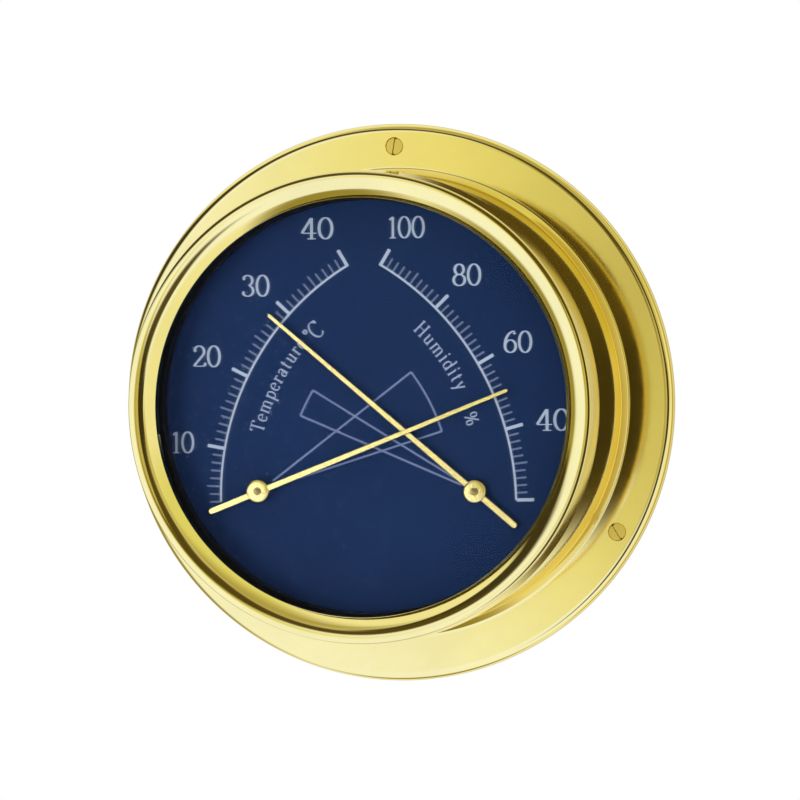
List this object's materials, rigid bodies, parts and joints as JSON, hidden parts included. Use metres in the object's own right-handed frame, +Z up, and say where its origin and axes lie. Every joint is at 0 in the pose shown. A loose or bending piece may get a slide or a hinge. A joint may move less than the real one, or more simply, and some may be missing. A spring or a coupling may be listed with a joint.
{
  "type": "dial thermometer and hygrometer",
  "caption": "Round flanged brass wall instrument with a flared bezel and a dark blue dial, on which a thermometer pointer and a hygrometer pointer cross.",
  "frame": {"origin": "centre of the flange's back, on the wall plane", "axes": "+Z up towards the top screw, +Y into the wall, so the dial faces -Y, +X to the viewer's right"},
  "size_m": [0.11, 0.0502, 0.11],
  "materials": {
    "case_brass": "polished and lacquered",
    "bezel_brass": "turned, polished and lacquered",
    "window_glass": "clear flat glass",
    "seal_rubber": "matt black",
    "black_paint": "matt black paint",
    "dial_paint": "satin dark blue paint with pale print",
    "spring_steel": "blued spring steel",
    "movement_brass": "plain milled and turned brass",
    "bright_steel": "turned steel",
    "pointer_brass": "pale satin brass",
    "bimetal_strip": "rolled bimetal strip",
    "hygroscopic_strip": "hygroscopic film on a metal strip",
    "screw_brass": "turned brass"
  },
  "bodies": {
    "case": {"flanged_case": "case_brass", "bezel_ring": "bezel_brass", "glass": "window_glass", "glass_gasket": "seal_rubber", "spacer_ring": "black_paint", "dial_plate": "dial_paint", "retaining_ring": "spring_steel", "movement_plate": "movement_brass", "pillar_top": "movement_brass", "pillar_left": "movement_brass", "pillar_right": "movement_brass", "pillar_screw_top": "bright_steel", "pillar_screw_left": "bright_steel", "pillar_screw_right": "bright_steel", "thermometer_front_bush": "movement_brass", "thermometer_rear_bush": "movement_brass", "bimetal_coil": "bimetal_strip", "bimetal_anchor": "movement_brass", "hygrometer_front_bush": "movement_brass", "back_cover": "black_paint", "wall_screw_top": "screw_brass", "wall_screw_right": "screw_brass", "wall_screw_left": "screw_brass"},
    "hygrometer_adjuster": {"adjuster_arm": "movement_brass", "adjuster_head": "movement_brass", "hygrometer_anchor": "movement_brass", "hygrometer_coil": "hygroscopic_strip"},
    "hygrometer_hand": {"hygrometer_arbor": "movement_brass", "hygrometer_pointer": "pointer_brass", "hygrometer_collet": "movement_brass"},
    "thermometer_hand": {"thermometer_arbor": "movement_brass", "thermometer_pointer": "pointer_brass", "bimetal_collet": "movement_brass"}
  },
  "joints": [
    {"name": "adjuster_turn", "type": "hinge", "parent": "case", "child": "hygrometer_adjuster", "pos_m": [-0.02085, -0.017, -0.01594], "axis": [0, -1, 0], "range_deg": [-6, 6]},
    {"name": "hygrometer_reading", "type": "hinge", "parent": "hygrometer_adjuster", "child": "hygrometer_hand", "pos_m": [-0.02085, -0.031, -0.01594], "axis": [0, -1, 0], "range_deg": [-23.9, 40], "stiffness_Nm_per_rad": 0.0012, "deforming": ["hygrometer_coil"]},
    {"name": "thermometer_reading", "type": "hinge", "parent": "case", "child": "thermometer_hand", "pos_m": [0.02085, -0.03, -0.01594], "axis": [0, -1, 0], "range_deg": [-20.3, 37.9], "stiffness_Nm_per_rad": 0.0012, "deforming": ["bimetal_coil"]}
  ]
}
